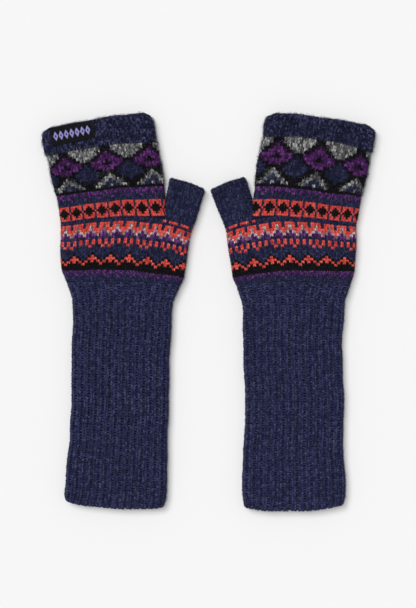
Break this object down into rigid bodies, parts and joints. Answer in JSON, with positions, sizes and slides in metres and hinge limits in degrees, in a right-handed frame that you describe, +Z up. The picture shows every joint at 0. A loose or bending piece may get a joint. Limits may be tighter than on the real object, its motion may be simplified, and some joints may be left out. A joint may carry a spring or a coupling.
{
  "type": "pair of knitted fingerless gloves",
  "caption": "Pair of long fingerless stranded-knit gloves lying flat: ribbed arms, patterned hands, open thumbs, hemmed finger edges and a small woven label on one.",
  "frame": {"origin": "middle of the pair's footprint, on the surface that the gloves lie on", "axes": "+X to the right across the pair, +Y along the gloves towards the finger edges, +Z up off the surface; the left glove is on -X and both lie palm down"},
  "size_m": [0.281, 0.3374, 0.0118],
  "materials": {
    "navy_wool": "soft matt wool, heathered navy, plain knit",
    "patterned_wool": "soft matt stranded wool in navy, black, orange, purple and grey",
    "orange_wool": "soft matt orange-red wool",
    "rib_wool": "soft matt wool, heathered navy, ribbed",
    "label_satin": "woven satin ribbon with a small lilac ornament",
    "label_thread": "sewing thread"
  },
  "bodies": {
    "left_hand": {"left_palm_bands": "patterned_wool", "left_thumb_gusset": "patterned_wool"},
    "left_fingers": {"left_knuckle_band": "patterned_wool", "left_diamond_band": "patterned_wool", "left_finger_hem": "navy_wool", "left_label": "label_satin", "left_label_stitches": "label_thread"},
    "left_thumb": {"left_thumb_join": "orange_wool", "left_thumb_tube": "navy_wool", "left_thumb_hem": "navy_wool"},
    "left_arm": {"left_wrist_band": "patterned_wool", "left_arm_rib": "rib_wool", "left_arm_hem": "rib_wool"},
    "right_hand": {"right_palm_bands": "patterned_wool", "right_thumb_gusset": "patterned_wool"},
    "right_fingers": {"right_knuckle_band": "patterned_wool", "right_diamond_band": "patterned_wool", "right_finger_hem": "navy_wool"},
    "right_thumb": {"right_thumb_join": "orange_wool", "right_thumb_tube": "navy_wool", "right_thumb_hem": "navy_wool"},
    "right_arm": {"right_wrist_band": "patterned_wool", "right_arm_rib": "rib_wool", "right_arm_hem": "rib_wool"}
  },
  "joints": [
    {"name": "left_knuckle_fold", "type": "hinge", "parent": "left_hand", "child": "left_fingers", "pos_m": [-0.08544, 0.09692, 0.0054], "axis": [0.9898, 0.1426, 0], "range_deg": [0, 70], "deforming": ["left_knuckle_band"]},
    {"name": "left_thumb_fold", "type": "hinge", "parent": "left_hand", "child": "left_thumb", "pos_m": [-0.02423, 0.08936, 0.0054], "axis": [0.8138, -0.5812, 0], "range_deg": [0, 55], "deforming": ["left_thumb_join"]},
    {"name": "left_wrist_fold", "type": "hinge", "parent": "left_hand", "child": "left_arm", "pos_m": [-0.07398, 0.0125, 0.0054], "axis": [-0.9985, -0.0549, 0], "range_deg": [0, 75], "deforming": ["left_wrist_band"]},
    {"name": "right_knuckle_fold", "type": "hinge", "parent": "right_hand", "child": "right_fingers", "pos_m": [0.08485, 0.09679, 0.0054], "axis": [0.9882, -0.153, 0], "range_deg": [0, 70], "deforming": ["right_knuckle_band"]},
    {"name": "right_thumb_fold", "type": "hinge", "parent": "right_hand", "child": "right_thumb", "pos_m": [0.02357, 0.08986, 0.0054], "axis": [0.8199, 0.5725, 0], "range_deg": [0, 55], "deforming": ["right_thumb_join"]},
    {"name": "right_wrist_fold", "type": "hinge", "parent": "right_hand", "child": "right_arm", "pos_m": [0.07242, 0.01249, 0.0054], "axis": [-0.9971, 0.0767, 0], "range_deg": [0, 75], "deforming": ["right_wrist_band"]},
    {"name": "right_glove_apart", "type": "slide", "parent": "left_hand", "child": "right_hand", "axis": [1, 0, 0], "range_m": [0, 0.1]}
  ]
}
